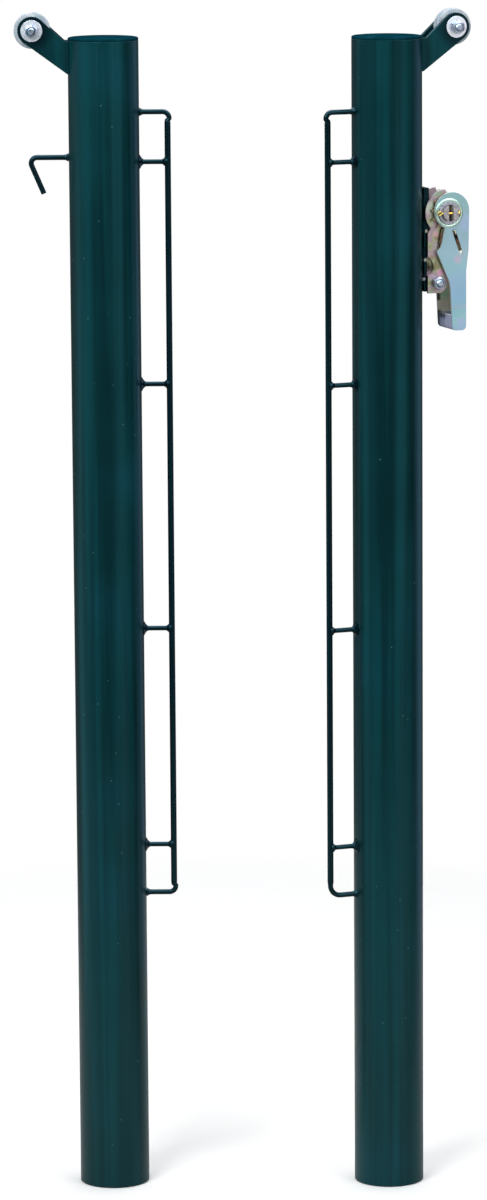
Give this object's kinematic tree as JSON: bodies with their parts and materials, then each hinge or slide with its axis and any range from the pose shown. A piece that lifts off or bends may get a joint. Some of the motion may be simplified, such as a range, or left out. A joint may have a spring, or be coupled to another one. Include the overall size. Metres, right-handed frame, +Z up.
{
  "type": "padel net post pair",
  "caption": "Round padel net posts with lacing rods, forked pulley arms, a bar hook for the cable loop and a double-pawl hand ratchet that winds the cable tight",
  "frame": {"origin": "middle of the bounding box at the tubes' feet", "axes": "+Z up along the tubes, +Y away from the viewer, +X from the hook post to the ratchet post"},
  "size_m": [0.5166, 0.0936, 1.3585],
  "materials": {
    "painted_tube": "dark teal gloss powder coat over steel",
    "black_plastic": "black moulded polyethylene",
    "nylon": "pale grey nylon, turned",
    "bronze": "sintered bronze",
    "bright_zinc": "bright zinc plate",
    "yellow_zinc": "yellow passivated zinc plate",
    "blue_zinc": "blue passivated zinc plate",
    "spring_steel": "drawn spring wire"
  },
  "bodies": {
    "posts": {"hook_post_arm_cheek_a": "painted_tube", "hook_post_arm_cheek_b": "painted_tube", "hook_post_cable_hook": "painted_tube", "hook_post_cap": "black_plastic", "hook_post_end_rung_bottom": "painted_tube", "hook_post_end_rung_top": "painted_tube", "hook_post_lacing_rod": "painted_tube", "hook_post_pulley_bolt": "bright_zinc", "hook_post_pulley_nut": "bright_zinc", "hook_post_pulley_washer_front": "bright_zinc", "hook_post_pulley_washer_rear": "bright_zinc", "hook_post_rung_1": "painted_tube", "hook_post_rung_2": "painted_tube", "hook_post_rung_3": "painted_tube", "hook_post_rung_4": "painted_tube", "hook_post_tube": "painted_tube", "ratchet_frame": "yellow_zinc", "ratchet_mount_bolt_lower": "bright_zinc", "ratchet_mount_bolt_upper": "bright_zinc", "ratchet_mounting_bar": "painted_tube", "ratchet_post_arm_cheek_a": "painted_tube", "ratchet_post_arm_cheek_b": "painted_tube", "ratchet_post_cap": "black_plastic", "ratchet_post_end_rung_bottom": "painted_tube", "ratchet_post_end_rung_top": "painted_tube", "ratchet_post_lacing_rod": "painted_tube", "ratchet_post_pulley_bolt": "bright_zinc", "ratchet_post_pulley_nut": "bright_zinc", "ratchet_post_pulley_washer_front": "bright_zinc", "ratchet_post_pulley_washer_rear": "bright_zinc", "ratchet_post_rung_1": "painted_tube", "ratchet_post_rung_2": "painted_tube", "ratchet_post_rung_3": "painted_tube", "ratchet_post_rung_4": "painted_tube", "ratchet_post_tube": "painted_tube", "ratchet_rear_bolt": "bright_zinc", "ratchet_rear_nut": "bright_zinc", "ratchet_rear_spacer": "bright_zinc", "holding_pawl_spring": "spring_steel"},
    "hook_pulley": {"hook_post_pulley": "nylon", "hook_post_pulley_bush": "bronze"},
    "ratchet_pulley": {"ratchet_post_pulley": "nylon", "ratchet_post_pulley_bush": "bronze"},
    "spindle": {"ratchet_wheel_far": "yellow_zinc", "ratchet_wheel_near": "yellow_zinc", "spindle_bar_inner": "yellow_zinc", "spindle_bar_outer": "yellow_zinc", "spindle_cotter_far": "yellow_zinc", "spindle_cotter_near": "yellow_zinc", "spindle_washer_far": "bright_zinc", "spindle_washer_near": "bright_zinc"},
    "handle": {"ratchet_handle": "blue_zinc", "drive_pawl_spring": "spring_steel"},
    "drive_pawl": {"drive_pawl": "yellow_zinc"},
    "holding_pawl": {"holding_pawl": "yellow_zinc"}
  },
  "joints": [
    {"name": "hook_pulley_spin", "type": "hinge", "parent": "posts", "child": "hook_pulley", "pos_m": [-0.23772, -0.00683, 1.338], "axis": [0, -1, 0], "continuous": true},
    {"name": "ratchet_pulley_spin", "type": "hinge", "parent": "posts", "child": "ratchet_pulley", "pos_m": [0.23697, 0.02183, 1.338], "axis": [-0.3584, 0.9336, 0], "continuous": true},
    {"name": "spindle_spin", "type": "hinge", "parent": "posts", "child": "spindle", "pos_m": [0.22511, 0.01728, 1.1284], "axis": [0.3584, -0.9336, 0], "continuous": true},
    {"name": "handle_swing", "type": "hinge", "parent": "posts", "child": "handle", "pos_m": [0.22511, 0.01728, 1.1284], "axis": [0.3584, -0.9336, 0], "range_deg": [0, 160]},
    {"name": "drive_pawl_slide", "type": "slide", "parent": "handle", "child": "drive_pawl", "axis": [0.3039, 0.1167, -0.9455], "range_m": [0, 0.004], "stiffness_N_per_m": 800, "springref_m": -0.004, "deforming": ["drive_pawl_spring"]},
    {"name": "holding_pawl_slide", "type": "slide", "parent": "posts", "child": "holding_pawl", "axis": [-0.1781, -0.0684, -0.9816], "range_m": [0, 0.0055], "stiffness_N_per_m": 600, "springref_m": -0.005, "deforming": ["holding_pawl_spring"]}
  ]
}
